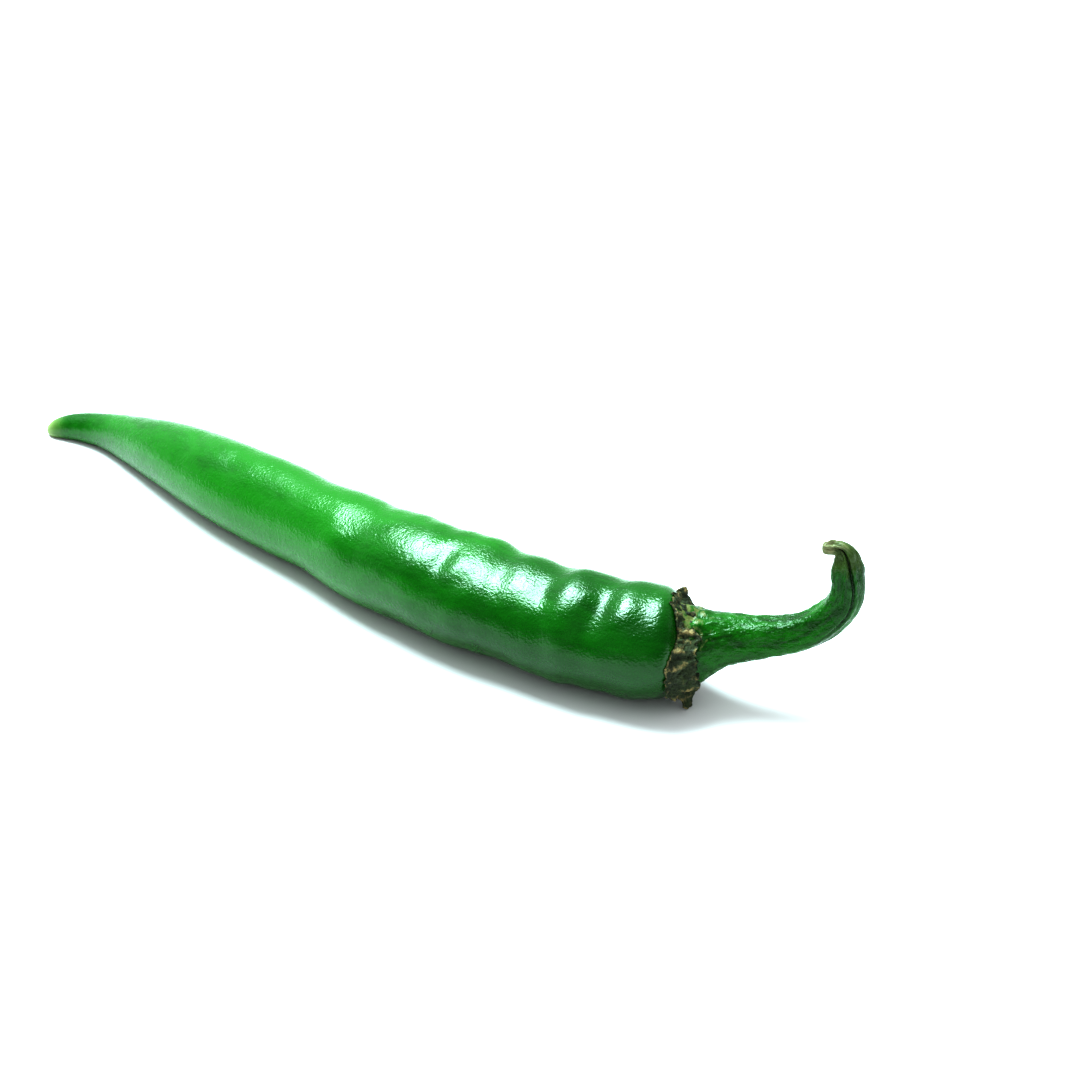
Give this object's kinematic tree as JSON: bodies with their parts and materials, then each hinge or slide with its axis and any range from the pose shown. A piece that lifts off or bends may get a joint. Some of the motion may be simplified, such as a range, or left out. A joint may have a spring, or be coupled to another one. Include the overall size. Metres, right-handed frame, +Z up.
{
  "type": "chilli pepper",
  "caption": "Fresh long green chilli pepper lying on its side: gently bowed tapering pod, dry ragged calyx and a fleshy stem curled up into a hook.",
  "frame": {"origin": "on the surface it rests on, under the centre of the object's box", "axes": "+X from the pod's tip towards the stem, +Z up from the surface it rests on"},
  "size_m": [0.1748, 0.0284, 0.0316],
  "materials": {
    "pod_skin": "waxy gloss skin",
    "calyx_dry": "dry, wrinkled and matte",
    "stem_skin": "satin, with fine ribs"
  },
  "bodies": {
    "root": {"pod": "pod_skin", "calyx": "calyx_dry", "stem": "stem_skin"}
  },
  "joints": []
}
